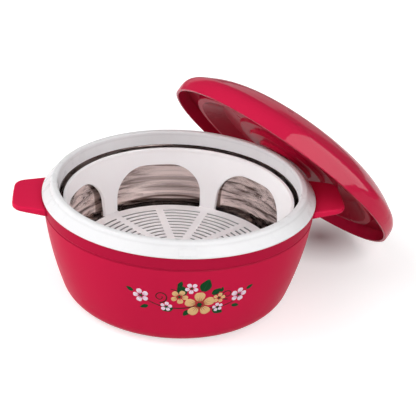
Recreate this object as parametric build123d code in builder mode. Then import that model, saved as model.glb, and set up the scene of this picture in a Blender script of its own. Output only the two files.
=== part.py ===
from build123d import *
import os
from math import asin, atan2, cos, degrees, radians, sin, tan

# Insulated serving casserole: a double-walled bowl with a steel liner, a lift-out slotted basket
# and an insulated lid that leans against the bowl. Millimetres, +Z up. The origin is the centre
# of the base, on the table. The handles point along -X and +X, the collar's plate faces -Y.

# ---- outer body ----
rim_r = 120.0            # outside radius of the collar and of the lid's rim
body_height = 95.5       # table to the collar's lower edge
base_inset = 38.0        # the rim to where the base starts to turn up, level
base_corner_r = 22.0     # round between the base and the side
wall_lean = 19.0         # degrees, the side's lean at the top of that round
foot_width = 7.0         # width of the ring that it stands on
foot_depth = 1.5         # how far the base plate stands above the table
body_wall = 2.5
base_plate = 2.5
collar_overhang = 0.8    # how far the collar stands out over the body
band_flare = 0.6         # how much wider the body gets above the groove
groove_drop = 11.5       # top of the body to the decorative groove
groove_round_r = 1.6
groove_depth = 0.55
fill_hole_r = 8.0        # foam filling hole in the base
fill_flange_r = 11.0
fill_flange_t = 1.1
plug_slack = 0.1
plug_bevel = 0.4

# ---- handles ----
handle_length = 25.1     # the rim to the handle's tip
handle_bow = 0.7         # how far the tip's edge bows out
handle_root_inset = 10.0 # the rim to the handle's start, inside the body's wall
handle_root_half = 34.1
handle_tip_half = 25.0
handle_corner_r = 12.0
handle_drop = 2.5        # top of the body to the handle's top
handle_root_t = 7.2
handle_tip_t = 4.6
handle_edge_r = 1.6

# ---- steel bowl ----
insulation = 15.0        # the rim to the steel bowl's mouth, level
floor_insulation = 9.2   # the base plate to the steel bowl's floor
bowl_corner_r = 24.0
bowl_taper = 3.8         # degrees
steel_t = 0.6
flange_drop = 1.7        # top of the body to the top of the bowl's flange
flange_slack = 1.5       # the flange's edge to the collar's spigot
flange_lip = 3.0         # height of the turned-down edge
flange_bend_r = 0.9
foam_gap = 0.2
foam_drop = 7.5          # top of the body to the top of the foam

# ---- white collar ----
collar_height = 11.1     # above the outer body
collar_cover = 0.4       # how far the steel bowl's mouth stands in from the collar
collar_lean = 1.0        # how much the collar's inside widens up to its crest
crest_width = 6.0
crest_round_r = 3.0
valley_out = 1.0         # valley round the outside of the crest: outward from its edge
valley_drop = 3.1        # and down
valley_round_r = 2.0
collar_edge_t = 1.1
collar_wall = 2.3
collar_slack = 0.3       # between the spigot and the body's wall
spigot_depth = 6.0
spigot_t = 2.3
rib_t = 1.8              # rib that presses the gasket
rib_inset = 2.8          # the flange's edge to the rib's inner face
gasket_height = 3.5
gasket_margin = 0.8      # how much wider than the rib the gasket is, each side
crest_void_in = 1.9      # the hollow under the crest ends this far inside its edge
crest_void_drop = 3.9    # and falls this much to the spigot
inner_round_r = 1.8
edge_round_r = 0.7
plate_width = 14.7
plate_height = 7.2
plate_border = 1.2
plate_raise = 0.6
plate_field_raise = 0.15
plate_root = 1.0
plate_place = 0.5        # how far down the collar's slope its middle lies

# ---- basket ----
basket_gap = 3.35        # the steel bowl's mouth to the basket's top edge, level
basket_drop = 1.6        # top of the flange to the basket's top edge
grid_rise = 21.3         # the steel bowl's floor to the top of the slotted floor
basket_taper = 0.1       # radius lost per mm of depth
basket_wall = 2.4
basket_bead = 0.6        # how far the top bead stands in
basket_bead_height = 2.6
basket_edge_r = 0.7
grid_t = 2.0
post_azimuth = 8.5       # degrees, first post
post_count = 6
post_angle = 10.0        # degrees that a post covers
window_drop = 16.0       # the basket's top edge to the window's top
window_corner_r = 28.0
window_upright = 1.0     # least straight side of a window below its round
floor_setback = 3.3      # how far the slotted floor's edge stands in from the posts' skin
slot_margin = 10.9       # the slotted floor's edge to its outermost slots
slot_pitch = 5.87
slot_width = 2.3
slot_hub_r = 20.0        # plain middle of the slotted floor
spoke_width = 7.0
web_t = 1.8              # upright web under each spoke
web_depth = 3.0
web_inset = 4.1          # the posts' skin to the web's end
foot_peg_r = 3.5
foot_peg_inset = 26.1    # the posts' skin to the middle of a foot
foot_peg_taper = 1.5     # degrees
seat_gap = 0.3           # the basket's feet above the steel floor

# ---- lid, in its own frame: r from its axis, h above its rim plane ----
crease_inset = 0.8       # the rim to where the skirt meets the dome
crease_h = 15.6
crease_round_r = 14.0
skirt_bow = 0.1          # how far the skirt bows out past the rim
skirt_bow_h = 8.0
shoulder_inset = 13.0
shoulder_h = 23.5
dome_mid_inset = 45.0
dome_mid_h = 36.0
dome_top_h = 42.5
dome_wall = 2.6
dome_wall_in = 0.5       # share of the wall that the shoulder's inside moves inward
dome_wall_down = 0.85    # and down
skirt_wall = 2.4
seat_h = 14.0            # step in the skirt that the liner's edge rests against
seat_inset = 4.4
seat_step = 0.65         # height of the step's inner edge
skirt_draft = 0.3        # the skirt's inside narrows this much up to the step
liner_t = 2.0
liner_slack = 0.3
bead_play = 4.4          # between the liner's bead and the collar's inside
bead_h = 5.6
bead_foot_draft = 2.4    # the bead's outer side narrows this much down to its crest
bead_crest_width = 5.4
recess_slope_width = 17.2
recess_h = 16.0
panel_margin = 21.4      # the recess's edge to the stepped panel
panel_steps = 3
panel_step_width = 13.5
panel_riser_width = 1.6
panel_h = 6.6            # middle of the panel
liner_round_r = 1.2
lid_edge_r = 0.7
lid_hole_r = 3.4         # foam filling hole, in the recess of the liner
lid_hole_inset = 10.0    # the recess's edge to the middle of that hole
lid_flange_r = 4.6
lid_flange_t = 0.8

# ---- how the lid leans ----
lean_azimuth = 36.0      # degrees from +X
lean_tilt = 46.0         # degrees from level
lean_gap = 0.3           # between the lid's panel and the collar's crest
floor_clearance = 0.05


def polar(radius, azimuth, height=0.0):
    """Point at a radius and an azimuth in degrees about the bowl's axis."""
    return Vector(radius * cos(radians(azimuth)), radius * sin(radians(azimuth)), height)


def corner_at(sketch, radius, height):
    """The corner of a half section nearest to a place in it."""
    return sketch.vertices().sort_by_distance((radius, height, 0))[0]


# ------------------------------------------------------------------ outer body
groove_z = body_height - groove_drop
band_top_r = rim_r - collar_overhang
wall_top_r = band_top_r - band_flare
base_flat_r = rim_r - base_inset
base_top_z = foot_depth + base_plate
handle_top_z = body_height - handle_drop
handle_root_x = rim_r - handle_root_inset
handle_reach = rim_r + handle_length


def body_form(inset, floor_z, top_z):
    """Lines round the outer body's half section, drawn `inset` inside its skin."""
    round_r = base_corner_r - inset
    start = -degrees(asin((base_corner_r - floor_z) / round_r))
    turn = CenterArc((base_flat_r, base_corner_r), round_r, start, -wall_lean - start)
    side = TangentArc(turn @ 1, (wall_top_r - inset, groove_z), tangent=turn % 1)
    band = Line(side @ 1, (wall_top_r - inset + band_flare * (top_z - groove_z) / groove_drop, top_z))
    Polyline(band @ 1, (0, top_z), (0, floor_z), turn @ 0)


with BuildPart() as handle:
    with BuildSketch(Plane.XY.offset(handle_top_z - handle_root_t)) as outline:
        with BuildLine():
            tip = ThreePointArc(
                (handle_reach - handle_bow, -handle_tip_half),
                (handle_reach, 0),
                (handle_reach - handle_bow, handle_tip_half),
            )
            Polyline(
                tip @ 1,
                (handle_root_x, handle_root_half),
                (handle_root_x, -handle_root_half),
                tip @ 0,
            )
        make_face()
        fillet(outline.vertices().group_by(Axis.X)[-1], handle_corner_r)
    extrude(amount=handle_root_t)
    with BuildSketch(Plane.XZ):
        with BuildLine():
            Polyline(
                (handle_root_x - 1, handle_top_z - handle_root_t),
                (handle_reach, handle_top_z - handle_tip_t),
                (handle_reach, handle_top_z - 2 * handle_root_t),
                (handle_root_x - 1, handle_top_z - 2 * handle_root_t),
                close=True,
            )
        make_face()
    extrude(amount=2 * handle_root_half, both=True, mode=Mode.SUBTRACT)
    flats = handle.faces().sort_by(Axis.Z)
    rim_edges = flats[-1].edges() + flats[0].edges()
    fillet(rim_edges.filter_by_position(Axis.X, handle_root_x + 1, handle_reach), handle_edge_r)

with BuildPart() as outer_body:
    with BuildSketch(Plane.XZ):
        with BuildLine():
            body_form(0, 0, body_height)
        make_face()
    revolve(axis=Axis.Z)
    add(handle.part)
    mirror(handle.part, about=Plane.YZ)
    with BuildSketch(Plane.XZ):
        with BuildLine():
            body_form(body_wall, base_top_z, body_height)
        make_face()
    revolve(axis=Axis.Z, mode=Mode.SUBTRACT)
    with BuildSketch(Plane.XZ):
        with Locations((wall_top_r - groove_depth + groove_round_r, groove_z)):
            Circle(groove_round_r)
    revolve(axis=Axis.Z, mode=Mode.SUBTRACT)
    with BuildSketch():
        Circle(base_flat_r - foot_width)
    extrude(amount=foot_depth, mode=Mode.SUBTRACT)
    with BuildSketch():
        Circle(fill_hole_r)
    extrude(amount=base_top_z, mode=Mode.SUBTRACT)
outer_body.part.label = "outer_body"

with BuildPart() as foam_fill_plug:
    with BuildSketch(Plane.XY.offset(foot_depth - fill_flange_t)):
        Circle(fill_flange_r)
    extrude(amount=fill_flange_t)
    with BuildSketch(Plane.XY.offset(foot_depth)):
        Circle(fill_hole_r - plug_slack)
    extrude(amount=base_plate)
    chamfer(foam_fill_plug.edges().group_by(Axis.Z)[0], plug_bevel)
foam_fill_plug.part.label = "foam_fill_plug"

# ------------------------------------------------------------------ steel bowl and foam
bowl_r = rim_r - insulation
bowl_floor_z = base_top_z + floor_insulation + steel_t
flange_z = body_height - flange_drop
spigot_r = wall_top_r - body_wall - collar_slack
spigot_in_r = spigot_r - spigot_t
flange_r = spigot_in_r - flange_slack
foam_top_z = body_height - foam_drop
rib_in_r = flange_r - rib_inset
bowl_slope = tan(radians(bowl_taper))
bowl_turn_z = bowl_floor_z + bowl_corner_r
bowl_wall_z = bowl_turn_z - bowl_corner_r * sin(radians(bowl_taper))
bowl_wall_r = bowl_r - (flange_z - bowl_wall_z) * bowl_slope
bowl_turn_r = bowl_wall_r - bowl_corner_r * cos(radians(bowl_taper))


def bowl_form(grow, top_z):
    """Lines round half the space inside the steel bowl, grown outward by `grow`."""
    turn = CenterArc((bowl_turn_r, bowl_turn_z), bowl_corner_r + grow, -90, 90 - bowl_taper)
    rise = top_z - (turn @ 1).Y
    wall = Line(turn @ 1, ((turn @ 1).X + rise * bowl_slope, top_z))
    Polyline(wall @ 1, (0, top_z), (0, bowl_floor_z - grow), turn @ 0)


with BuildPart() as inner_bowl:
    with BuildSketch(Plane.XZ) as section:
        with BuildLine():
            bowl_form(steel_t, flange_z)
        make_face()
        with Locations((flange_r, flange_z)):
            Rectangle(flange_r - bowl_r, steel_t, align=(Align.MAX, Align.MAX))
            Rectangle(steel_t, flange_lip, align=(Align.MAX, Align.MAX))
        with BuildLine():
            bowl_form(0, flange_z + steel_t)
        make_face(mode=Mode.SUBTRACT)
        fillet(corner_at(section, bowl_r, flange_z), flange_bend_r)
        fillet(corner_at(section, flange_r, flange_z), flange_bend_r)
    revolve(axis=Axis.Z)
inner_bowl.part.label = "inner_bowl"

with BuildPart() as body_foam:
    with BuildSketch(Plane.XZ):
        with BuildLine():
            body_form(body_wall + foam_gap, base_top_z + foam_gap, foam_top_z)
        make_face()
        with BuildLine():
            bowl_form(steel_t + foam_gap, foam_top_z + 1)
        make_face(mode=Mode.SUBTRACT)
    revolve(axis=Axis.Z)
body_foam.part.label = "body_foam"

with BuildPart() as bowl_gasket:
    with BuildSketch(Plane.XY.offset(flange_z)):
        Circle(rib_in_r + rib_t + gasket_margin)
        Circle(rib_in_r - gasket_margin, mode=Mode.SUBTRACT)
    extrude(amount=gasket_height)
bowl_gasket.part.label = "bowl_gasket"

# ------------------------------------------------------------------ collar
crest_z = body_height + collar_height
collar_inner_r = bowl_r + collar_cover
collar_crest_in_r = collar_inner_r + collar_lean
collar_crest_out_r = collar_crest_in_r + crest_width
collar_void_top = crest_z - collar_wall
valley = Vector(collar_crest_out_r + valley_out, crest_z - valley_drop)
collar_slope = Vector(rim_r, body_height + collar_edge_t) - valley
collar_out = Vector(-collar_slope.Y, collar_slope.X).normalized()
collar_mid = valley + collar_slope * plate_place
plate_plane = Plane(
    origin=(0, -collar_mid.X, collar_mid.Y),
    x_dir=(1, 0, 0),
    z_dir=(0, -collar_out.X, collar_out.Y),
)

with BuildPart() as rim_ring:
    with BuildSketch(Plane.XZ) as section:
        with BuildLine():
            Polyline(
                (collar_inner_r, flange_z),
                (spigot_in_r, flange_z),
                (spigot_in_r, body_height - spigot_depth),
                (spigot_r, body_height - spigot_depth),
                (spigot_r, body_height),
                (rim_r, body_height),
                (rim_r, body_height + collar_edge_t),
                (valley.X, valley.Y),
                (collar_crest_out_r, crest_z),
                (collar_crest_in_r, crest_z),
                close=True,
            )
        make_face()
        fillet(corner_at(section, valley.X, valley.Y), valley_round_r)
        fillet(corner_at(section, collar_crest_out_r, crest_z), crest_round_r)
        fillet(corner_at(section, collar_crest_in_r, crest_z), inner_round_r)
        fillet(corner_at(section, rim_r, body_height + collar_edge_t), edge_round_r)
        with BuildLine():
            Polyline(
                (collar_inner_r + collar_wall, flange_z),
                (collar_inner_r + collar_wall, collar_void_top),
                (collar_crest_out_r - crest_void_in, collar_void_top),
                (spigot_in_r, collar_void_top - crest_void_drop),
                (spigot_in_r, flange_z),
                close=True,
            )
        make_face(mode=Mode.SUBTRACT)
        with Locations((rib_in_r, flange_z + gasket_height)):
            Rectangle(
                rib_t,
                collar_void_top - flange_z - gasket_height,
                align=(Align.MIN, Align.MIN),
            )
    revolve(axis=Axis.Z)
    with BuildSketch(plate_plane.offset(-plate_root)):
        Rectangle(plate_width, plate_height)
    extrude(amount=plate_root + plate_field_raise)
    with BuildSketch(plate_plane.offset(-plate_root)):
        RectangleRounded(plate_width, plate_height, plate_border)
        Rectangle(
            plate_width - 2 * plate_border,
            plate_height - 2 * plate_border,
            mode=Mode.SUBTRACT,
        )
    extrude(amount=plate_root + plate_raise)
rim_ring.part.label = "rim_ring"

# ------------------------------------------------------------------ basket
basket_r = bowl_r - basket_gap
basket_top_z = flange_z - basket_drop
grid_z = bowl_floor_z + grid_rise
basket_depth = basket_top_z - grid_z
grid_under_z = grid_z - grid_t
bead_under_z = basket_top_z - basket_bead_height
bead_skin_r = basket_r - basket_taper * basket_bead_height
window_top_z = basket_top_z - window_drop
window_height = window_top_z - grid_z
window_round_r = min(window_corner_r, window_height - window_upright)
post_pitch = 360.0 / post_count
basket_floor_r = basket_r - basket_taper * basket_depth
window_azimuths = [post_azimuth + post_pitch * (index + 0.5) for index in range(post_count)]
window_half_angle = radians((post_pitch - post_angle) / 2)
window_width = 2 * basket_floor_r * sin(window_half_angle)
window_plane_r = basket_floor_r * cos(window_half_angle) - 2 * basket_wall
spoke_pitch = post_pitch / 2
floor_edge_r = basket_floor_r - floor_setback
slot_first_r = floor_edge_r - slot_margin
post_foot_width = 2 * basket_floor_r * sin(radians(post_angle / 2))
slot_count = int((slot_first_r - slot_hub_r) / slot_pitch) + 1


def basket_skin_r(height):
    """Outside radius of the basket's wall at a height above the table."""
    return basket_r - basket_taper * (basket_top_z - height)


def window_plane(azimuth):
    """Upright plane just inside a window of the basket, which faces outward at an azimuth."""
    return Plane(
        origin=polar(window_plane_r, azimuth),
        x_dir=polar(1, azimuth + 90),
        z_dir=polar(1, azimuth),
    )


with BuildPart() as basket_band:
    with BuildSketch(Plane.XZ) as section:
        with BuildLine():
            Polyline(
                (basket_skin_r(window_top_z), window_top_z),
                (basket_r, basket_top_z),
                (bead_skin_r - basket_wall - basket_bead, basket_top_z),
                (bead_skin_r - basket_wall - basket_bead, bead_under_z),
                (bead_skin_r - basket_wall, bead_under_z - basket_bead),
                (basket_skin_r(window_top_z) - basket_wall, window_top_z),
                close=True,
            )
        make_face()
        fillet(section.vertices().group_by(Axis.Y)[-1], basket_edge_r)
    revolve(axis=Axis.Z)
basket_band.part.label = "basket_band"

with BuildPart() as basket_posts:
    with BuildSketch(Plane.XZ):
        with BuildLine():
            Polyline(
                (basket_floor_r, grid_z),
                (basket_skin_r(window_top_z), window_top_z),
                (basket_skin_r(window_top_z) - basket_wall, window_top_z),
                (basket_floor_r - basket_wall, grid_z),
                close=True,
            )
        make_face()
    revolve(axis=Axis.Z)
    with BuildSketch(*(window_plane(azimuth) for azimuth in window_azimuths)) as windows:
        with Locations((0, grid_z)):
            Rectangle(window_width, window_height, align=(Align.CENTER, Align.MIN))
        fillet(windows.vertices().group_by(Axis.Y)[-1], window_round_r)
    extrude(amount=basket_r - window_plane_r + basket_wall, mode=Mode.SUBTRACT)
basket_posts.part.label = "basket_posts"

with BuildPart() as basket_grid:
    with BuildSketch(Plane.XY.offset(grid_under_z)):
        for index in range(post_count):
            foot_angle = post_azimuth + index * post_pitch
            Rectangle(2 * basket_floor_r, post_foot_width, rotation=foot_angle)
        Circle(basket_floor_r, mode=Mode.INTERSECT)
        Circle(floor_edge_r)
    extrude(amount=grid_t)
    with BuildSketch(Plane.XY.offset(grid_under_z)):
        for index in range(slot_count):
            Circle(slot_first_r - index * slot_pitch + slot_width / 2)
            Circle(slot_first_r - index * slot_pitch - slot_width / 2, mode=Mode.SUBTRACT)
        for index in range(post_count):
            spoke_angle = post_azimuth + index * spoke_pitch
            Rectangle(2 * basket_floor_r, spoke_width, rotation=spoke_angle, mode=Mode.SUBTRACT)
    extrude(amount=grid_t, mode=Mode.SUBTRACT)
    with BuildSketch(Plane.XY.offset(grid_under_z - web_depth)):
        for index in range(post_count):
            Rectangle(2 * (basket_floor_r - web_inset), web_t, rotation=post_azimuth + index * spoke_pitch)
    extrude(amount=web_depth)
basket_grid.part.label = "basket_grid"

with BuildPart() as basket_feet:
    with BuildSketch(Plane.XY.offset(grid_under_z - web_depth)):
        with PolarLocations(
            basket_floor_r - foot_peg_inset,
            post_count,
            start_angle=post_azimuth,
        ):
            Circle(foot_peg_r)
    extrude(amount=-(grid_under_z - web_depth - bowl_floor_z - seat_gap), taper=foot_peg_taper)
basket_feet.part.label = "basket_feet"

# ------------------------------------------------------------------ lid
lean_up = Vector(
    cos(radians(lean_azimuth)) * sin(radians(lean_tilt)),
    sin(radians(lean_azimuth)) * sin(radians(lean_tilt)),
    cos(radians(lean_tilt)),
)
lean_down = Vector(
    cos(radians(lean_azimuth)) * cos(radians(lean_tilt)),
    sin(radians(lean_azimuth)) * cos(radians(lean_tilt)),
    -sin(radians(lean_tilt)),
)
crest_turn = atan2(valley_drop, valley_out)
crest_round_middle = Vector(
    collar_crest_out_r - crest_round_r * tan(crest_turn / 2),
    crest_z - crest_round_r,
)
edge_turn = atan2(-collar_slope.Y, collar_slope.X)
edge_round_middle = Vector(
    rim_r - edge_round_r,
    body_height + collar_edge_t + edge_round_r * (tan(edge_turn) - 1 / cos(edge_turn)),
)
lean_height = rim_r * sin(radians(lean_tilt)) + floor_clearance


def reach(middle, radius):
    """How far a rounding stands out towards the leaning lid."""
    return middle.X * sin(radians(lean_tilt)) + middle.Y * cos(radians(lean_tilt)) + radius


collar_reach = max(
    reach(crest_round_middle, crest_round_r),
    reach(edge_round_middle, edge_round_r),
)
rim_reach = lean_height * cos(radians(lean_tilt)) + panel_h - lean_gap
lean_distance = (collar_reach - rim_reach) / sin(radians(lean_tilt))
lid_place = polar(lean_distance, lean_azimuth, lean_height)
lid_section = Plane(origin=lid_place, x_dir=lean_down, z_dir=lean_down.cross(lean_up))
lid_rim = Plane(origin=lid_place, x_dir=lean_down, z_dir=lean_up)
lid_axis = Axis(lid_place, lean_up)
skirt_in_r = rim_r - skirt_wall
liner_edge_r = skirt_in_r - skirt_draft - liner_slack
flange_h = seat_h - liner_t
crease_r = rim_r - crease_inset
shoulder_r = rim_r - shoulder_inset
dome_mid_r = rim_r - dome_mid_inset
seat_r = rim_r - seat_inset
bead_out_r = collar_inner_r - bead_play
bead_crest_out_r = bead_out_r - bead_foot_draft
bead_crest_in_r = bead_crest_out_r - bead_crest_width
recess_r = bead_crest_in_r - recess_slope_width
panel_r = recess_r - panel_margin
lid_hole_place_r = recess_r - lid_hole_inset


def dome_skin(drop):
    """Line of the dome from its top to its shoulder, `drop` below the outside."""
    top = TangentArc((0, dome_top_h - drop), (dome_mid_r, dome_mid_h - drop), tangent=(1, 0))
    shoulder_end = (shoulder_r - drop * dome_wall_in, shoulder_h - drop * dome_wall_down)
    return TangentArc(top @ 1, shoulder_end, tangent=top % 1)


def panel_corners():
    """Corners of the liner's stepped panel, from its middle outward."""
    corners = [(0, panel_h)]
    rise = (recess_h - panel_h) / panel_steps
    for step in range(panel_steps):
        edge_r = panel_r - (panel_steps - 1 - step) * panel_step_width
        corners.append((edge_r, panel_h + step * rise))
        corners.append((edge_r + panel_riser_width, panel_h + (step + 1) * rise))
    return corners


def under_liner():
    """Lines round half the space below the liner, down to the rim plane."""
    skin = FilletPolyline(
        *panel_corners(),
        (recess_r, recess_h),
        (bead_crest_in_r, bead_h),
        (bead_crest_out_r, bead_h),
        (bead_out_r, flange_h),
        (liner_edge_r, flange_h),
        radius=liner_round_r,
    )
    Polyline(skin @ 1, (liner_edge_r, 0), (0, 0), skin @ 0)


with BuildPart() as lid_shell:
    with BuildSketch(lid_section) as section:
        with BuildLine():
            dome = dome_skin(0)
            shoulder = TangentArc(dome @ 1, (crease_r, crease_h), tangent=dome % 1)
            skirt = ThreePointArc(shoulder @ 1, (rim_r + skirt_bow, skirt_bow_h), (rim_r, 0))
            Polyline(skirt @ 1, (0, 0), (0, dome_top_h))
        make_face()
        fillet(corner_at(section, crease_r, crease_h), crease_round_r)
        fillet(corner_at(section, rim_r, 0), lid_edge_r)
        with BuildLine():
            dome = dome_skin(dome_wall)
            Polyline(
                dome @ 1,
                (seat_r, seat_h + seat_step),
                (seat_r, seat_h),
                (skirt_in_r - skirt_draft, seat_h),
                (skirt_in_r, 0),
                (0, 0),
                (0, dome_top_h - dome_wall),
            )
        make_face(mode=Mode.SUBTRACT)
    revolve(axis=lid_axis)
lid_shell.part.label = "lid_shell"

with BuildPart() as lid_liner:
    with BuildSketch(lid_section):
        with BuildLine():
            under_liner()
        make_face()
        offset(amount=liner_t)
        Rectangle(liner_edge_r, dome_top_h, align=Align.MIN, mode=Mode.INTERSECT)
        with BuildLine():
            under_liner()
        make_face(mode=Mode.SUBTRACT)
    revolve(axis=lid_axis)
    with BuildSketch(lid_rim):
        with Locations((lid_hole_place_r, 0)):
            Circle(lid_hole_r)
    extrude(amount=dome_mid_h, mode=Mode.SUBTRACT)
lid_liner.part.label = "lid_liner"

with BuildPart() as lid_fill_plug:
    with BuildSketch(lid_rim.offset(recess_h - lid_flange_t)):
        with Locations((lid_hole_place_r, 0)):
            Circle(lid_flange_r)
    extrude(amount=lid_flange_t)
    with BuildSketch(lid_rim.offset(recess_h)):
        with Locations((lid_hole_place_r, 0)):
            Circle(lid_hole_r - plug_slack)
    extrude(amount=liner_t)
lid_fill_plug.part.label = "lid_fill_plug"

with BuildPart() as lid_foam:
    with BuildSketch(lid_section):
        with BuildLine():
            dome = dome_skin(dome_wall + foam_gap)
            Polyline(
                dome @ 1,
                (seat_r - foam_gap, seat_h + seat_step - foam_gap),
                (seat_r - foam_gap, 0),
                (0, 0),
                (0, dome_top_h - dome_wall - foam_gap),
            )
        make_face()
        with BuildSketch(mode=Mode.SUBTRACT):
            with BuildLine():
                under_liner()
            make_face()
            offset(amount=liner_t + foam_gap)
    revolve(axis=lid_axis)
lid_foam.part.label = "lid_foam"

os.makedirs("parts", exist_ok=True)
for piece in (
    outer_body,
    foam_fill_plug,
    inner_bowl,
    body_foam,
    bowl_gasket,
    rim_ring,
    basket_band,
    basket_posts,
    basket_grid,
    basket_feet,
    lid_shell,
    lid_liner,
    lid_fill_plug,
    lid_foam,
):
    export_step(piece.part, "parts/" + piece.part.label + ".step")
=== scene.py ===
from math import cos, pi, radians, sin

import bmesh
import bpy
from mathutils import Matrix, Vector
from mathutils.bvhtree import BVHTree


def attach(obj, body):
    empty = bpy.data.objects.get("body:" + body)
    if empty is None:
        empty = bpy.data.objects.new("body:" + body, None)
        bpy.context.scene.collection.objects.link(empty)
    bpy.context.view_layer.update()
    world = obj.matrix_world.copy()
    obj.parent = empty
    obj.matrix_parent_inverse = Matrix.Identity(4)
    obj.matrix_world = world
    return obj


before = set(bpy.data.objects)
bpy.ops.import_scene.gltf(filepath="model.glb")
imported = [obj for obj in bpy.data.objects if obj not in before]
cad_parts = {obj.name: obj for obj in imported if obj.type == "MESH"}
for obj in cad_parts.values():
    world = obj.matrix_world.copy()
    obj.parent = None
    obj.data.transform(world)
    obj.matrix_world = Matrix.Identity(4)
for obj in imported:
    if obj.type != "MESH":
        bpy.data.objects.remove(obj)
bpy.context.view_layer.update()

MM = 0.001

# ---- camera: where it stands and how it is turned, in the object's frame ----
EYE = Vector((-73.09, -943.09, 565.07)) * MM
LOOK_AZIMUTH = radians(84.0)
LOOK_DOWN = radians(27.11)
ROLL = 0.0578            # lean of the picture, in radians
FOCAL_PX = 1200.0
IMAGE_PX = 416.0
SENSOR_MM = 36.0

# ---- colours, linear ----
CRIMSON = (0.50, 0.011, 0.050)
CRIMSON_DEEP = (0.37, 0.005, 0.028)
# painted light and shade: the collar's white is set darker and the basket's lighter, to even out how
# light falls on the well-lit collar and into the shaded basket
COLLAR_SHADED_WHITE = (0.72, 0.715, 0.725)
BASKET_LIT_WHITE = (0.92, 0.90, 0.91)
# ends of the steel's painted reflection streaks
STEEL_REFLECTION_LIGHT = (0.78, 0.66, 0.625)
STEEL_REFLECTION_DARK = (0.13, 0.09, 0.08)
FOAM = (0.80, 0.72, 0.48)
SILICONE = (0.72, 0.72, 0.70)
FLOOR = (0.72, 0.72, 0.72)
WHITE = (1.0, 1.0, 1.0, 1.0)
PEACH = (0.64, 0.41, 0.19)
PEACH_VEIN = (0.32, 0.08, 0.035)
BLOSSOM = (0.72, 0.60, 0.69)
BLOSSOM_VEIN = (0.50, 0.08, 0.24)
LEAF = (0.004, 0.050, 0.014)
LEAF_VEIN = (0.012, 0.085, 0.026)
TENDRIL = (0.030, 0.016, 0.012)

# ---- where painted shade darkens a piece's colour with height: heights and fades in metres, tones as shares ----
COLLAR_VALLEY = 0.1035   # the shallow valley below the collar's crest
VALLEY_SHADE_TONE = 0.93         # painted shade: a faint dark line in that valley
VALLEY_SHADE_HALF = 0.0013
GROOVE_HEIGHT = 0.0845   # top of the groove round the body
GROOVE_WIDTH = 0.0013
GROOVE_FADE = 0.0007
# painted shade in the groove
GROOVE_SHADE_TONE = 0.66
BAND_SHADE_TONE = 0.80         # painted shade on the body's band above the groove, under the collar
BAND_REACH = 0.1198      # radius of the band, short of the handles
REACH_FADE = 0.0010
SLOT_SHADE_TONE = 0.40         # painted shade on the slots' walls, against the slotted floor's top
SLOT_FADE = 0.0006
SLOTTED_TOP = 0.0349     # just below the slotted floor's top
STEEL_FLOOR_SHADE_TONE = 0.45  # painted shade on the bowl's floor, against its wall
STEEL_FLOOR_TOP = 0.0300
STEEL_WALL_START = 0.0325
STEEL_RIM_TONE = 0.40    # the bowl's upper edge, in the collar's shade
STEEL_RIM_START = 0.0785
STEEL_RIM_END = 0.0815

# ---- surfaces ----
PLASTIC_IOR = 1.46
COAT_IOR = 1.36
PEEL = 0.000004          # depth in metres of the plastic's slow unevenness


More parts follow.
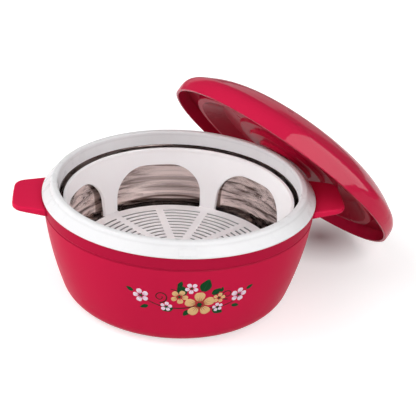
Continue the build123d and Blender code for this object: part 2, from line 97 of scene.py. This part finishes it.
# ------------------------------------------------------------------ materials
class Shader:
    """A new material with its principled shader, and short ways to add and join nodes."""

    def __init__(self, name, colour, roughness, metallic=0.0):
        self.material = bpy.data.materials.new(name)
        self.material.use_nodes = True
        self.tree = self.material.node_tree
        self.skin = self.tree.nodes["Principled BSDF"]
        self.skin.inputs["Base Color"].default_value = (*colour, 1.0)
        self.skin.inputs["Roughness"].default_value = roughness
        self.skin.inputs["Metallic"].default_value = metallic
        self.place = self.add("ShaderNodeTexCoord").outputs["Object"]

    def add(self, kind, **settings):
        node = self.tree.nodes.new(kind)
        for key, value in settings.items():
            setattr(node, key, value)
        return node

    def join(self, output, target):
        self.tree.links.new(output, target)

    def math(self, operation, *values):
        node = self.add("ShaderNodeMath", operation=operation)
        for socket, value in zip(node.inputs, values):
            if isinstance(value, (int, float)):
                socket.default_value = value
            else:
                self.join(value, socket)
        return node.outputs[0]

    def noise(self, scale, detail, roughness):
        node = self.add("ShaderNodeTexNoise")
        node.inputs["Scale"].default_value = scale
        node.inputs["Detail"].default_value = detail
        node.inputs["Roughness"].default_value = roughness
        self.join(self.place, node.inputs["Vector"])
        return node.outputs["Fac"]

    def between(self, fac, low, high, start=0.35, end=0.65):
        """Number that goes from low to high as fac goes from start to end."""
        node = self.add("ShaderNodeMapRange")
        node.inputs["From Min"].default_value = start
        node.inputs["From Max"].default_value = end
        node.inputs["To Min"].default_value = low
        node.inputs["To Max"].default_value = high
        self.join(fac, node.inputs["Value"])
        return node.outputs["Result"]

    def shade(self, fac, dark, light, start=0.3, end=0.7):
        """Colour that goes from dark to light as fac goes from start to end."""
        node = self.add("ShaderNodeValToRGB")
        node.color_ramp.elements[0].position = start
        node.color_ramp.elements[1].position = end
        node.color_ramp.elements[0].color = (*dark, 1.0)
        node.color_ramp.elements[1].color = (*light, 1.0)
        self.join(fac, node.inputs["Fac"])
        return node.outputs["Color"]

    def bump(self, height, depth, below=None):
        """Bump of that depth in metres, on top of another one."""
        node = self.add("ShaderNodeBump")
        node.inputs["Strength"].default_value = 1.0
        node.inputs["Distance"].default_value = depth
        self.join(height, node.inputs["Height"])
        if below:
            self.join(below, node.inputs["Normal"])
        self.join(node.outputs["Normal"], self.skin.inputs["Normal"])
        return node.outputs["Normal"]

    def around(self):
        """(radius from the bowl's axis, height, turn) of a point, in metres and radians."""
        split = self.add("ShaderNodeSeparateXYZ")
        self.join(self.place, split.inputs[0])
        x, y, z = split.outputs
        squares = self.math("ADD", self.math("MULTIPLY", x, x), self.math("MULTIPLY", y, y))
        return self.math("SQRT", squares), z, self.math("ARCTAN2", y, x)

    def dimmed(self, colour, low, high, start, end, reach=None):
        """Colour times a tone that goes from low to high between two heights, and is 1 or more
        beyond a radius."""
        radius, height, _ = self.around()
        tone = self.between(height, low, high, start, end)
        if reach:
            beyond = self.between(radius, 0.0, 1.0, reach, reach + REACH_FADE)
            tone = self.math("MAXIMUM", tone, beyond)
        node = self.add("ShaderNodeVectorMath", operation="SCALE")
        self.join(colour, node.inputs[0])
        self.join(tone, node.inputs["Scale"])
        return node.outputs[0]


def scaled(colour, factor):
    return tuple(channel * factor for channel in colour)


def moulded_plastic(name, colour, roughness, specular, coat, coat_roughness, grain=0.0, groove_top=None):
    """Injection-moulded plastic: faint flow mottle, slow orange peel, fine rub marks, and painted
    shade in the groove and on the band above it, under the collar, where groove_top is given."""
    s = Shader(name, colour, roughness)
    mottle = s.noise(scale=9.0, detail=2.0, roughness=0.5)
    tone = s.shade(mottle, dark=scaled(colour, 0.97), light=scaled(colour, 1.03))
    # painted shade: the groove darker, and the band above it a little darker, under the collar's
    # overhang
    if groove_top:
        groove_foot = groove_top - GROOVE_WIDTH
        tone = s.dimmed(tone, 1.0, GROOVE_SHADE_TONE, groove_foot - GROOVE_FADE, groove_foot, BAND_REACH)
        band_shade_ratio = BAND_SHADE_TONE / GROOVE_SHADE_TONE
        tone = s.dimmed(tone, 1.0, band_shade_ratio, groove_top - GROOVE_FADE, groove_top, BAND_REACH)
    s.join(tone, s.skin.inputs["Base Color"])
    rubs = s.noise(scale=60.0, detail=4.0, roughness=0.6)
    s.join(s.between(rubs, low=roughness * 0.9, high=roughness * 1.12), s.skin.inputs["Roughness"])
    s.skin.inputs["IOR"].default_value = PLASTIC_IOR
    s.skin.inputs["Specular IOR Level"].default_value = specular
    s.skin.inputs["Coat Weight"].default_value = coat
    s.skin.inputs["Coat Roughness"].default_value = coat_roughness
    s.skin.inputs["Coat IOR"].default_value = COAT_IOR
    peel = s.bump(s.noise(scale=38.0, detail=1.0, roughness=0.4), PEEL)
    if grain:
        s.bump(s.noise(scale=2600.0, detail=2.0, roughness=0.6), grain, peel)
    return s.material


def white_plastic(name, colour, roughness, slotted_top=None, shade_line_height=None):
    """Milky white plastic that lets a little light through. What lies below slotted_top is darker with
    painted shade, and a faint line of painted shade runs round it at the height given for that line."""
    s = Shader(name, colour, roughness)
    haze = s.noise(scale=12.0, detail=2.0, roughness=0.5)
    tone = s.shade(haze, dark=scaled(colour, 0.985), light=scaled(colour, 1.01))
    # painted shade: the slots' walls darker than the slotted floor's top
    if slotted_top:
        tone = s.dimmed(tone, SLOT_SHADE_TONE, 1.0, slotted_top - SLOT_FADE, slotted_top)
    # painted shade: a faint dark line round the collar's valley
    if shade_line_height:
        tone = s.dimmed(tone, 1.0, VALLEY_SHADE_TONE, shade_line_height - VALLEY_SHADE_HALF, shade_line_height)
        tone = s.dimmed(tone, 1.0, 1.0 / VALLEY_SHADE_TONE, shade_line_height, shade_line_height + VALLEY_SHADE_HALF)
    s.join(tone, s.skin.inputs["Base Color"])
    rubs = s.noise(scale=70.0, detail=4.0, roughness=0.6)
    s.join(s.between(rubs, low=roughness * 0.9, high=roughness * 1.15), s.skin.inputs["Roughness"])
    s.skin.inputs["Subsurface Weight"].default_value = 0.12
    s.skin.inputs["Subsurface Radius"].default_value = (1.0, 0.9, 0.85)
    s.skin.inputs["Subsurface Scale"].default_value = 0.002
    s.skin.inputs["IOR"].default_value = PLASTIC_IOR
    s.skin.inputs["Specular IOR Level"].default_value = 0.12
    s.bump(s.noise(scale=45.0, detail=1.0, roughness=0.4), PEEL)
    return s.material


def spun_steel(name, light, dark):
    """Spun and polished steel: lathe rings round the axis and slow waves in the wall, with painted
    reflection streaks along the waves. Its floor and its upper edge are darkened with painted shade."""
    s = Shader(name, light, roughness=0.10, metallic=1.0)
    radius, height, turn = s.around()

    def bands(across, along, detail, distortion):
        """Noise drawn out round the axis: across is its count per metre, along its count round."""
        spread = s.add("ShaderNodeCombineXYZ")
        s.join(s.math("MULTIPLY", radius, across), spread.inputs[0])
        s.join(s.math("MULTIPLY", height, across), spread.inputs[1])
        s.join(s.math("MULTIPLY", s.math("SINE", turn), along), spread.inputs[2])
        node = s.add("ShaderNodeTexNoise")
        node.inputs["Scale"].default_value = 1.0
        node.inputs["Detail"].default_value = detail
        node.inputs["Distortion"].default_value = distortion
        s.join(spread.outputs[0], node.inputs["Vector"])
        return node.outputs["Fac"]

    rings = bands(across=950.0, along=1.5, detail=4.0, distortion=0.0)
    waves = bands(across=120.0, along=3.4, detail=3.0, distortion=1.2)
    s.join(s.between(rings, low=0.05, high=0.15), s.skin.inputs["Roughness"])
    # painted reflection: the waves' dark and light streaks are put in the base colour; the waves' bump
    # is real relief
    tone = s.shade(waves, dark, light, start=0.38, end=0.56)
    # painted shade: the bowl's floor darker, and its upper edge darker in the collar's shade
    tone = s.dimmed(tone, STEEL_FLOOR_SHADE_TONE, 1.0, STEEL_FLOOR_TOP, STEEL_WALL_START)
    tone = s.dimmed(tone, 1.0, STEEL_RIM_TONE, STEEL_RIM_START, STEEL_RIM_END)
    s.join(tone, s.skin.inputs["Base Color"])
    swell = s.bump(waves, depth=0.0005)
    s.bump(rings, depth=0.000004, below=swell)
    return s.material


def foam_block(name, colour):
    """Rigid foam with a fine closed-cell surface."""
    s = Shader(name, colour, roughness=0.9)
    cells = s.add("ShaderNodeTexVoronoi")
    cells.inputs["Scale"].default_value = 900.0
    s.join(s.place, cells.inputs["Vector"])
    from_middle = cells.outputs["Distance"]
    tone = s.shade(from_middle, dark=scaled(colour, 1.05), light=scaled(colour, 0.8))
    s.join(tone, s.skin.inputs["Base Color"])
    s.bump(from_middle, depth=0.0003)
    return s.material


def seal_rubber(name, colour):
    """Soft silicone with a dusty skin."""
    s = Shader(name, colour, roughness=0.6)
    dust = s.noise(scale=400.0, detail=4.0, roughness=0.6)
    tone = s.shade(dust, dark=scaled(colour, 0.9), light=scaled(colour, 1.05))
    s.join(tone, s.skin.inputs["Base Color"])
    s.bump(dust, depth=0.00002)
    return s.material


def print_ink(name, colour, speck):
    """Transfer-print ink: slightly uneven, and duller than the plastic below."""
    s = Shader(name, colour, roughness=0.34)
    fleck = s.noise(scale=1500.0, detail=3.0, roughness=0.6)
    tone = s.shade(fleck, dark=scaled(colour, 1.0 - speck), light=scaled(colour, 1.0 + speck))
    s.join(tone, s.skin.inputs["Base Color"])
    s.skin.inputs["IOR"].default_value = PLASTIC_IOR
    s.skin.inputs["Specular IOR Level"].default_value = 0.04
    s.bump(fleck, depth=0.000004)
    return s.material


def paint(material, *nodes):
    for node in nodes:
        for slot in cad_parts[node].material_slots:
            slot.material = material


crimson_body = moulded_plastic(
    "crimson_body", CRIMSON, roughness=0.32, specular=0.015, coat=0.0, coat_roughness=0.05,
    groove_top=GROOVE_HEIGHT,
)
crimson_lid = moulded_plastic(
    "crimson_lid", CRIMSON, roughness=0.30, specular=0.01, coat=0.36, coat_roughness=0.03,
)
crimson_liner = moulded_plastic(
    "crimson_liner", CRIMSON_DEEP, roughness=0.30, specular=0.01, coat=0.07, coat_roughness=0.05,
)
crimson_plug = moulded_plastic(
    "crimson_plug", CRIMSON_DEEP, roughness=0.5, specular=0.4, coat=0.0, coat_roughness=0.05,
    grain=0.00001,
)
white_collar = white_plastic("white_collar", COLLAR_SHADED_WHITE, roughness=0.28, shade_line_height=COLLAR_VALLEY)
white_basket = white_plastic("white_basket", BASKET_LIT_WHITE, roughness=0.36)
white_floor_slot_shade = white_plastic("white_floor_slot_shade", BASKET_LIT_WHITE, roughness=0.36, slotted_top=SLOTTED_TOP)
steel = spun_steel("bowl_steel", STEEL_REFLECTION_LIGHT, STEEL_REFLECTION_DARK)
foam = foam_block("foam", FOAM)
silicone = seal_rubber("silicone", SILICONE)

paint(crimson_body, "outer_body")
paint(crimson_lid, "lid_shell")
paint(crimson_liner, "lid_liner")
paint(crimson_plug, "foam_fill_plug", "lid_fill_plug")
paint(white_collar, "rim_ring")
paint(white_basket, "basket_band", "basket_posts", "basket_feet")
paint(white_floor_slot_shade, "basket_grid")
paint(steel, "inner_bowl")
paint(foam, "body_foam", "lid_foam")
paint(silicone, "bowl_gasket")


# ------------------------------------------------------------------ printed flower spray
# Drawn flat as u, to the right along the body's skin, and v, up, in mm from the print's middle,
# and laid on the skin of the outer body.
PRINT_AZIMUTH = radians(-88.0)
PRINT_HEIGHT = 53.0
PRINT_RADIUS = 113.5
INK_DEPTH = 0.10         # how far a film reaches to each side of the skin
LAYER = 0.035            # how much further out each layer lies
SKIN_STEP = 0.5          # the skin is measured at heights this far apart
SKIN_RAYS = 24           # with so many rays, over the print's width
SKIN_RAY_PITCH = 3.1     # degrees from one to the next
SKIN_RAY_START = 0.2     # metres from the axis

body_tree = BVHTree.FromObject(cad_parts["outer_body"], bpy.context.evaluated_depsgraph_get())
skin_cache = {}


def skin_radius(height):
    """Outside radius of the body at a height in mm: the widest of several facets."""
    key = round(height / SKIN_STEP) * SKIN_STEP
    if key not in skin_cache:
        widest = 0.0
        for step in range(SKIN_RAYS):
            turn = PRINT_AZIMUTH + radians((step - SKIN_RAYS / 2) * SKIN_RAY_PITCH)
            start = Vector((cos(turn) * SKIN_RAY_START, sin(turn) * SKIN_RAY_START, key * MM))
            hit = body_tree.ray_cast(start, Vector((-cos(turn), -sin(turn), 0.0)))[0]
            widest = max(widest, hit.xy.length / MM)
        skin_cache[key] = widest
    return skin_cache[key]


def smooth_radius(height):
    """Outside radius between two measured heights."""
    low = int(height // SKIN_STEP) * SKIN_STEP
    share = (height - low) / SKIN_STEP
    return skin_radius(low) * (1 - share) + skin_radius(low + SKIN_STEP) * share


def on_skin(u, v, lift):
    """Point on the body's skin, in metres, for a place on the print."""
    height = PRINT_HEIGHT + v
    turn = PRINT_AZIMUTH + u / PRINT_RADIUS
    radius = smooth_radius(height) + lift
    return Vector((cos(turn) * radius, sin(turn) * radius, height)) * MM


class Ink:
    """Closed thin films of one ink, gathered in one mesh."""

    def __init__(self, name, material):
        self.name = name
        self.material = material
        self.mesh = bmesh.new()

    def points(self, rows, lift):
        return [[self.mesh.verts.new(on_skin(u, v, lift)) for u, v in row] for row in rows]

    def film(self, rows, layer, wrapped):
        """Film through a grid of (u, v) places: rows of equal length, closed round if wrapped."""
        top = self.points(rows, INK_DEPTH + layer * LAYER)
        under = self.points(rows, -INK_DEPTH)
        face = self.mesh.faces.new
        count = len(rows[0])
        last = len(rows) - 1
        for a in range(last):
            for b in range(count if wrapped else count - 1):
                c = (b + 1) % count
                face((top[a][b], top[a][c], top[a + 1][c], top[a + 1][b]))
                face((under[a][b], under[a + 1][b], under[a + 1][c], under[a][c]))
        if wrapped:
            face(top[last])
            face(under[last][::-1])
            for b in range(count):
                c = (b + 1) % count
                face((top[0][c], top[0][b], under[0][b], under[0][c]))
            return
        for b in range(count - 1):
            face((top[0][b + 1], top[0][b], under[0][b], under[0][b + 1]))
            face((top[last][b], top[last][b + 1], under[last][b + 1], under[last][b]))
        for a in range(last):
            face((top[a][0], top[a + 1][0], under[a + 1][0], under[a][0]))
            face((top[a + 1][-1], top[a][-1], under[a][-1], under[a + 1][-1]))

    def blob(self, u, v, reach, outline, layer, rings=4, points=28):
        """Filled shape round a middle: outline(angle) gives its share of the reach."""
        rows = []
        for ring in range(rings):
            share = 1.0 - ring / rings
            row = []
            for index in range(points):
                angle = 2 * pi * index / points
                r = reach * outline(angle) * share
                row.append((u + r * cos(angle), v + r * sin(angle)))
            rows.append(row)
        self.film(rows, layer, wrapped=True)

    def stroke(self, path, width, layer):
        """Ribbon along a path of places; width(share) is its width that far along."""
        left, right = [], []
        for index, (u, v) in enumerate(path):
            before = path[max(index - 1, 0)]
            after = path[min(index + 1, len(path) - 1)]
            along = Vector((after[0] - before[0], after[1] - before[1])).normalized()
            half = width(index / (len(path) - 1)) / 2
            left.append((u - along.y * half, v + along.x * half))
            right.append((u + along.y * half, v - along.x * half))
        self.film([right, left], layer, wrapped=False)

    def finish(self):
        bmesh.ops.recalc_face_normals(self.mesh, faces=self.mesh.faces)
        data = bpy.data.meshes.new(self.name)
        self.mesh.to_mesh(data)
        self.mesh.free()
        data.materials.append(self.material)
        for polygon in data.polygons:
            polygon.use_smooth = True
        piece = bpy.data.objects.new(self.name, data)
        bpy.context.scene.collection.objects.link(piece)
        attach(piece, "casserole")


inks = {
    "peach": Ink("print_peach", print_ink("ink_peach", PEACH, 0.07)),
    "peach_vein": Ink("print_peach_veins", print_ink("ink_peach_vein", PEACH_VEIN, 0.1)),
    "blossom": Ink("print_blossom", print_ink("ink_blossom", BLOSSOM, 0.05)),
    "blossom_vein": Ink("print_blossom_veins", print_ink("ink_blossom_vein", BLOSSOM_VEIN, 0.1)),
    "leaf": Ink("print_leaves", print_ink("ink_leaf", LEAF, 0.12)),
    "leaf_vein": Ink("print_leaf_veins", print_ink("ink_leaf_vein", LEAF_VEIN, 0.1)),
    "tendril": Ink("print_tendrils", print_ink("ink_tendril", TENDRIL, 0.1)),
}

# Layers of the spray, counted from the leaves' own.
STEM_LAYER = -0.5
CURL_LAYER = -0.4
LEAF_LAYER = 0.0
RIB_LAYER = 0.8
PETAL_LAYER = 1.0
PETAL_OVERLAP = 0.4      # every other petal of a flower lies this much higher
VEIN_LAYER = 2.2
EYE_LAYER = 2.8

# Shapes: widths in mm, and a flower's measures as shares of its size.
STEM_WIDTH = 1.2
STEM_STEPS = 16
CURL_WIDTH = 1.1
CURL_TURNS = 1.35
CURL_CLOSE = 0.78        # how much of its radius a tendril loses on its way in
CURL_STEPS = 34
RIB_WIDTH = 0.34
LEAF_STEPS = 10
LEAF_LONGER = 1.32
LEAF_WIDER = 0.95
PETALS = 5
PETAL_MIDDLE = 0.56
PETAL_NOTCH = 0.08
VEIN_START = 0.24
VEIN_END = 0.74
VEIN_SHORTER = 0.10      # each vein away from the middle one ends this much sooner
VEIN_SPREAD = 0.26       # radians from one vein to the next
VEIN_WIDTH = 0.055
VEIN_STEPS = 5
EYE_REACH = 0.17


def stem(start, bend, end):
    """Stem along a smooth arc that starts and ends at a place and bends toward another."""
    path = []
    for index in range(STEM_STEPS + 1):
        t = index / STEM_STEPS
        a, b, c = (1 - t) ** 2, 2 * t * (1 - t), t * t
        path.append(tuple(a * p + b * q + c * r for p, q, r in zip(start, bend, end)))
    inks["tendril"].stroke(path, lambda share: STEM_WIDTH * (1.0 - 0.5 * share), STEM_LAYER)


def curl(u, v, radius, start, hand):
    """Spiral tendril that winds in from its outer end, anticlockwise if hand is 1."""
    path = []
    for index in range(CURL_STEPS + 1):
        share = index / CURL_STEPS
        angle = start + hand * CURL_TURNS * 2 * pi * share
        r = radius * (1 - CURL_CLOSE * share)
        path.append((u + r * cos(angle), v + r * sin(angle)))
    inks["tendril"].stroke(path, lambda share: CURL_WIDTH * (1.0 - 0.45 * share), CURL_LAYER)


def leaf(u, v, length, turn, plump):
    """Pointed leaf with a pale midrib, from its stalk outward."""
    edge = []
    for index in range(1, LEAF_STEPS):
        s = index / LEAF_STEPS
        half = length * plump * sin(pi * s) ** 1.1 * (1.35 - 0.75 * s)
        edge.append((s * length, half))

    def place(x, y):
        return (u + x * cos(turn) - y * sin(turn), v + x * sin(turn) + y * cos(turn))

    rows = [[place(x, y * side) for x, y in edge] for side in (-1.0, -0.5, 0.0, 0.5, 1.0)]
    inks["leaf"].film(rows, LEAF_LAYER, wrapped=False)
    rib = [place(x, 0.0) for x, _ in edge]
    inks["leaf_vein"].stroke(rib, lambda share: RIB_WIDTH * (1.1 - share), RIB_LAYER)


def petal_outline(angle):
    """Broad petal with a shallow notch in its outer edge, as a share of its reach."""
    front = cos(angle)
    wide = 0.62 + 0.30 * max(front, 0.0) - 0.06 * max(-front, 0.0)
    return wide - PETAL_NOTCH * max(front, 0.0) ** 24


def eye_outline(angle):
    """Round with six shallow lobes."""
    return 1.0 + 0.18 * cos(6 * angle)


def flower(u, v, size, turn, ink, veins):
    """Open flower: petals round a green eye, with fine lines from the eye."""
    for index in range(PETALS):
        angle = turn + 2 * pi * index / PETALS
        reach = size * (0.60 + 0.03 * sin(index * 2.4))
        inks[ink].blob(
            u + size * PETAL_MIDDLE * cos(angle),
            v + size * PETAL_MIDDLE * sin(angle),
            reach * 0.80,
            lambda a, angle=angle: petal_outline(a - angle),
            PETAL_LAYER + (index % 2) * PETAL_OVERLAP,
        )
        for vein in range(veins):
            from_middle = vein - (veins - 1) / 2
            lean = angle + from_middle * VEIN_SPREAD
            end = VEIN_END - VEIN_SHORTER * abs(from_middle)
            path = []
            for step in range(VEIN_STEPS + 1):
                r = size * (VEIN_START + (end - VEIN_START) * step / VEIN_STEPS)
                path.append((u + r * cos(lean), v + r * sin(lean)))
            width = size * VEIN_WIDTH
            inks[ink + "_vein"].stroke(path, lambda share: width * (1.05 - share), VEIN_LAYER)
    inks["leaf"].blob(u, v, size * EYE_REACH, eye_outline, EYE_LAYER, rings=2, points=18)


# A wide shallow arch, with the large flower right of its middle.
# Start, bend and end of each stem.
STEMS = (
    ((6.0, -6.0), (-22.0, -14.0), (-42.0, 3.0)),
    ((6.0, -6.0), (30.0, -15.0), (44.0, 1.0)),
    ((0.0, -4.0), (-6.0, 10.0), (-16.0, 12.0)),
)
# Place, radius, start in degrees and hand of each tendril.
CURLS = (
    (-24.5, 3.0, 6.2, -95, 1),
    (31.0, 3.6, 5.4, -80, -1),
)
# Place of its stalk, length, turn in degrees and plumpness of each leaf.
LEAVES = (
    (-46.5, 5.0, 6.0, 150, 0.24),
    (-34.0, -7.5, 7.0, 205, 0.22),
    (-13.0, -8.0, 8.5, 200, 0.30),
    (-4.0, 5.0, 11.0, 118, 0.30),
    (9.5, 8.0, 12.0, 72, 0.32),
    (17.0, 5.0, 8.0, 40, 0.30),
    (19.0, -10.0, 9.5, -30, 0.30),
    (36.0, -9.0, 7.0, -18, 0.22),
    (47.5, 5.0, 6.0, 28, 0.24),
    (-10.0, 13.5, 6.0, 70, 0.28),
    (0.0, -10.0, 7.0, 235, 0.30),
    (25.0, 6.5, 5.0, 80, 0.26),
)
# Place, size, turn in degrees, ink and number of veins in a petal of each flower.
FLOWERS = (
    (8.0, -4.5, 13.2, 20, "peach", 5),
    (-9.0, 4.0, 7.4, 64, "peach", 3),
    (24.0, 1.0, 5.4, 8, "peach", 1),
    (-40.5, 2.0, 7.0, 35, "blossom", 3),
    (41.5, 1.0, 7.2, 80, "blossom", 3),
    (-19.5, -7.0, 5.2, 10, "blossom", 1),
    (0.5, 13.0, 5.6, 50, "blossom", 1),
    (24.0, -9.0, 4.8, 30, "blossom", 1),
)
for places in STEMS:
    stem(*places)
for u, v, radius, start, hand in CURLS:
    curl(u, v, radius, radians(start), hand)
for u, v, length, turn, plump in LEAVES:
    leaf(u, v, length * LEAF_LONGER, radians(turn), plump * LEAF_WIDER)
for u, v, size, turn, ink, veins in FLOWERS:
    flower(u, v, size, radians(turn), ink, veins)
for film in inks.values():
    film.finish()


# ------------------------------------------------------------------ floor, light and camera
FLOOR_HALF = 0.9
FLOOR_LIFT = 0.50        # how much brighter the floor is to the camera and in mirrors
PAINTED_SHADOW_MIDDLE = (0.150, 0.095, 0.0)
PAINTED_SHADOW_REACH = 0.06       # the lift fades in over this distance from a spot under the lid, so a painted shadow lies there

WORLD_LIGHT = 0.28
ROOM_GLOW = 0.10         # the studio as it is mirrored
BACKDROP_GLOW = 0.8      # and the white backdrop in it, behind the object
BACKDROP_TOP = 0.24      # sine of how high the backdrop reaches
BACKDROP_SIDE = 0.90     # cosine of how far it reaches to each side
HORIZON = -0.06          # sine of where it starts
EDGE_SOFT = 0.012        # half of the width over which its top and foot fade
SIDE_SOFT = 0.01         # and its sides

LAMP_TARGET = Vector((0.03, 0.0, 0.08))
FAR_DISTANCE = 3.2
FAR_SIZE = (2.4, 1.8)
# Far lamps, which light the object and are not mirrored: azimuth, elevation and watts.
FAR_LAMPS = {
    "front_light": (-120, 22, 21.0),
    "second_light": (-60, 24, 44.0),
    "right_light": (-20, 50, 18.0),
    "left_light": (-165, 50, 46.0),
    "flank_light": (172, 12, 56.0),
}


def stage_floor():
    """Pale floor that keeps the object's shadow and is lifted to white for the camera and in
    mirrors, except round a spot under the lid, where leaving the lift out paints a deeper shadow."""
    data = bpy.data.meshes.new("floor")
    half = FLOOR_HALF
    corners = [(-half, -half, 0), (half, -half, 0), (half, half, 0), (-half, half, 0)]
    data.from_pydata(corners, [], [(0, 1, 2, 3)])
    floor = bpy.data.objects.new("floor", data)
    bpy.context.scene.collection.objects.link(floor)
    s = Shader("floor", FLOOR, roughness=0.9)
    s.skin.inputs["Specular IOR Level"].default_value = 0.0
    rays = s.add("ShaderNodeLightPath")
    seen = s.math("MAXIMUM", rays.outputs["Is Camera Ray"], rays.outputs["Is Glossy Ray"])
    # painted shadow: no lift at the spot under the lid, more further away
    gap = s.add("ShaderNodeVectorMath", operation="DISTANCE")
    s.join(s.place, gap.inputs[0])
    gap.inputs[1].default_value = PAINTED_SHADOW_MIDDLE
    lift = s.between(gap.outputs["Value"], 0.0, FLOOR_LIFT, 0.0, PAINTED_SHADOW_REACH)
    glow = s.add("ShaderNodeEmission")
    s.join(s.math("MULTIPLY", seen, lift), glow.inputs["Strength"])
    both = s.add("ShaderNodeAddShader")
    s.join(s.skin.outputs[0], both.inputs[0])
    s.join(glow.outputs[0], both.inputs[1])
    s.join(both.outputs[0], s.tree.nodes["Material Output"].inputs["Surface"])
    data.materials.append(s.material)


def world_light():
    """White behind the object, a plain level of light on it, and a studio to be mirrored in it."""
    world = bpy.data.worlds.new("studio")
    bpy.context.scene.world = world
    world.use_nodes = True
    tree = world.node_tree
    tree.nodes.clear()
    join = tree.links.new

    def add(kind, **settings):
        node = tree.nodes.new(kind)
        for key, value in settings.items():
            setattr(node, key, value)
        return node

    def ramp(value, start, end, low, high):
        """Number that goes smoothly from low to high as value goes from start to end."""
        node = add("ShaderNodeMapRange", interpolation_type="SMOOTHSTEP")
        for key, number in zip(("From Min", "From Max", "To Min", "To Max"), (start, end, low, high)):
            node.inputs[key].default_value = number
        join(value, node.inputs["Value"])
        return node.outputs["Result"]

    def combined(operation, first, second):
        node = add("ShaderNodeMath", operation=operation)
        join(first, node.inputs[0])
        join(second, node.inputs[1])
        return node.outputs[0]

    def white_light(strength=1.0):
        node = add("ShaderNodeBackground")
        node.inputs["Color"].default_value = WHITE
        node.inputs["Strength"].default_value = strength
        return node

    def chosen(share, one, other):
        """One light, or the other where share is 1."""
        node = add("ShaderNodeMixShader")
        join(share, node.inputs[0])
        join(one.outputs[0], node.inputs[1])
        join(other.outputs[0], node.inputs[2])
        return node

    way = add("ShaderNodeTexCoord").outputs["Generated"]
    split = add("ShaderNodeSeparateXYZ")
    join(way, split.inputs[0])
    rise = split.outputs[2]
    ahead = add("ShaderNodeVectorMath", operation="DOT_PRODUCT")
    join(way, ahead.inputs[0])
    ahead.inputs[1].default_value = (cos(LOOK_AZIMUTH), sin(LOOK_AZIMUTH), 0.0)
    facing = ahead.outputs["Value"]
    behind = ramp(facing, BACKDROP_SIDE - SIDE_SOFT, BACKDROP_SIDE + SIDE_SOFT, 0.0, 1.0)
    under_top = ramp(rise, BACKDROP_TOP - EDGE_SOFT, BACKDROP_TOP + EDGE_SOFT, 1.0, 0.0)
    over_floor = ramp(rise, HORIZON - EDGE_SOFT, HORIZON + EDGE_SOFT, 0.0, 1.0)
    backdrop = combined("MULTIPLY", combined("MULTIPLY", behind, under_top), over_floor)

    lit = white_light(WORLD_LIGHT)
    mirrored = white_light()
    join(ramp(backdrop, 0.0, 1.0, ROOM_GLOW, BACKDROP_GLOW), mirrored.inputs["Strength"])
    rays = add("ShaderNodeLightPath")
    unseen = chosen(rays.outputs["Is Glossy Ray"], lit, mirrored)
    seen = combined("MAXIMUM", rays.outputs["Is Camera Ray"], rays.outputs["Is Transmission Ray"])
    whole = chosen(seen, unseen, white_light())
    join(whole.outputs[0], add("ShaderNodeOutputWorld").inputs["Surface"])


def softbox(name, azimuth, elevation, distance, size, watts, mirrored, lighting):
    """Rectangular lamp that looks at the bowl, seen in mirrors or giving light or both."""
    lamp = bpy.data.lights.new(name, "AREA")
    lamp.shape = "RECTANGLE"
    lamp.size, lamp.size_y = size
    lamp.energy = watts
    holder = bpy.data.objects.new(name, lamp)
    bpy.context.scene.collection.objects.link(holder)
    away = Vector((
        cos(radians(elevation)) * cos(radians(azimuth)),
        cos(radians(elevation)) * sin(radians(azimuth)),
        sin(radians(elevation)),
    ))
    holder.location = LAMP_TARGET + away * distance
    holder.rotation_euler = away.to_track_quat("Z", "Y").to_euler()
    holder.visible_camera = False
    holder.visible_glossy = mirrored
    holder.visible_diffuse = lighting


def photo_camera():
    """Camera at the photograph's place, turned about its own axis by the picture's lean."""
    forward = Vector((
        cos(LOOK_DOWN) * cos(LOOK_AZIMUTH),
        cos(LOOK_DOWN) * sin(LOOK_AZIMUTH),
        -sin(LOOK_DOWN),
    ))
    right = forward.cross(Vector((0, 0, 1))).normalized()
    up = right.cross(forward)
    right, up = right * cos(ROLL) + up * sin(ROLL), up * cos(ROLL) - right * sin(ROLL)
    data = bpy.data.cameras.new("camera")
    data.sensor_width = SENSOR_MM
    data.lens = FOCAL_PX / IMAGE_PX * SENSOR_MM
    camera = bpy.data.objects.new("camera", data)
    bpy.context.scene.collection.objects.link(camera)
    turn = Matrix((right, up, -forward)).transposed()
    camera.matrix_world = Matrix.Translation(EYE) @ turn.to_4x4()
    bpy.context.scene.camera = camera


stage_floor()
world_light()
for name, (azimuth, elevation, watts) in FAR_LAMPS.items():
    softbox(name, azimuth, elevation, FAR_DISTANCE, FAR_SIZE, watts, mirrored=False, lighting=True)
# One near panel that is only mirrored.
softbox("side_light", -37, 33, 1.2, (2.3, 1.45), 84.0, mirrored=True, lighting=False)
photo_camera()
bpy.context.scene.view_settings.view_transform = "Standard"
